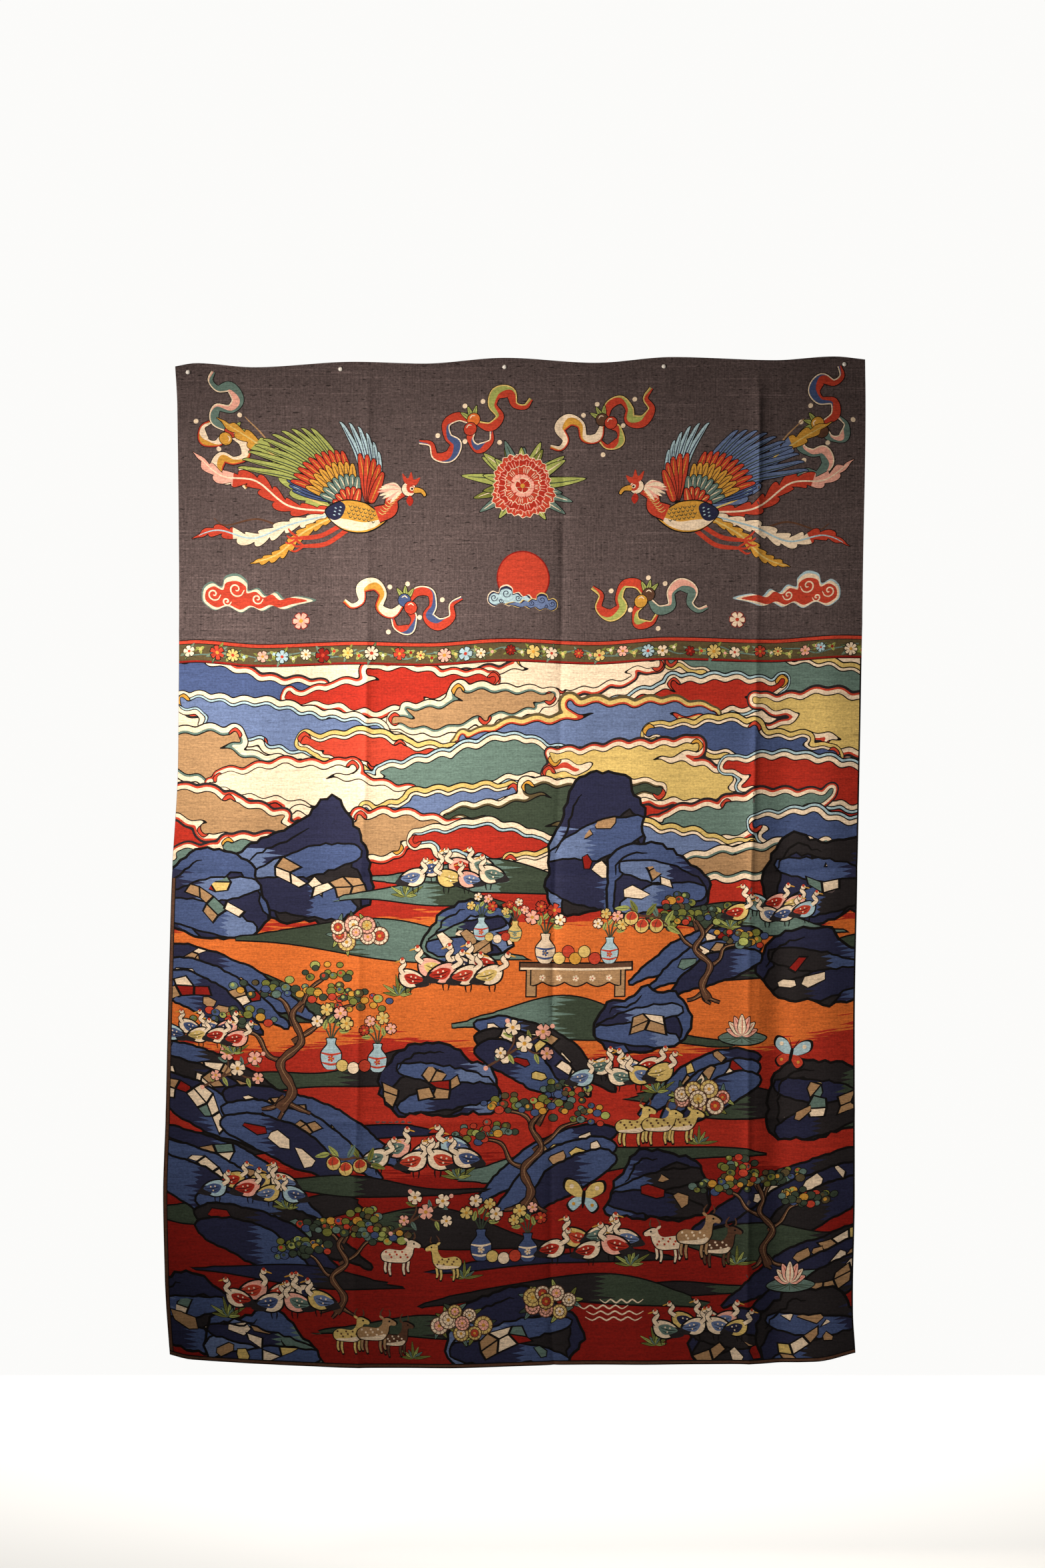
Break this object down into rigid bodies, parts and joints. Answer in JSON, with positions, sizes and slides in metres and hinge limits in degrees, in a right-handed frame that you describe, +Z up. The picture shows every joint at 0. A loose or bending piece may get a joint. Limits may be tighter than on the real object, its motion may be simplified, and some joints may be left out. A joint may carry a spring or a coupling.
{
  "type": "embroidered silk panel with wall pins",
  "caption": "Large upright silk hanging with hemmed edges and storage creases, pinned flat through its top hem.",
  "frame": {"origin": "where the middle pin meets the wall plane, y = 0", "axes": "+Z up along the hanging cloth, +X to the viewer's right along the top hem, -Y out of the cloth's face towards the viewer"},
  "size_m": [1.3259, 0.0395, 1.9088],
  "materials": {
    "silk_ground": "slubbed plain-woven silk, dark grey-brown",
    "silk_colours": "coloured silk tapestry and couched silk thread, soft sheen",
    "pin_enamel": "white, domed, slightly glossy"
  },
  "bodies": {
    "root": {"silk_panel": "silk_ground", "pin_1": "pin_enamel", "pin_2": "pin_enamel", "pin_3": "pin_enamel", "pin_4": "pin_enamel", "pin_5": "pin_enamel"}
  },
  "joints": []
}
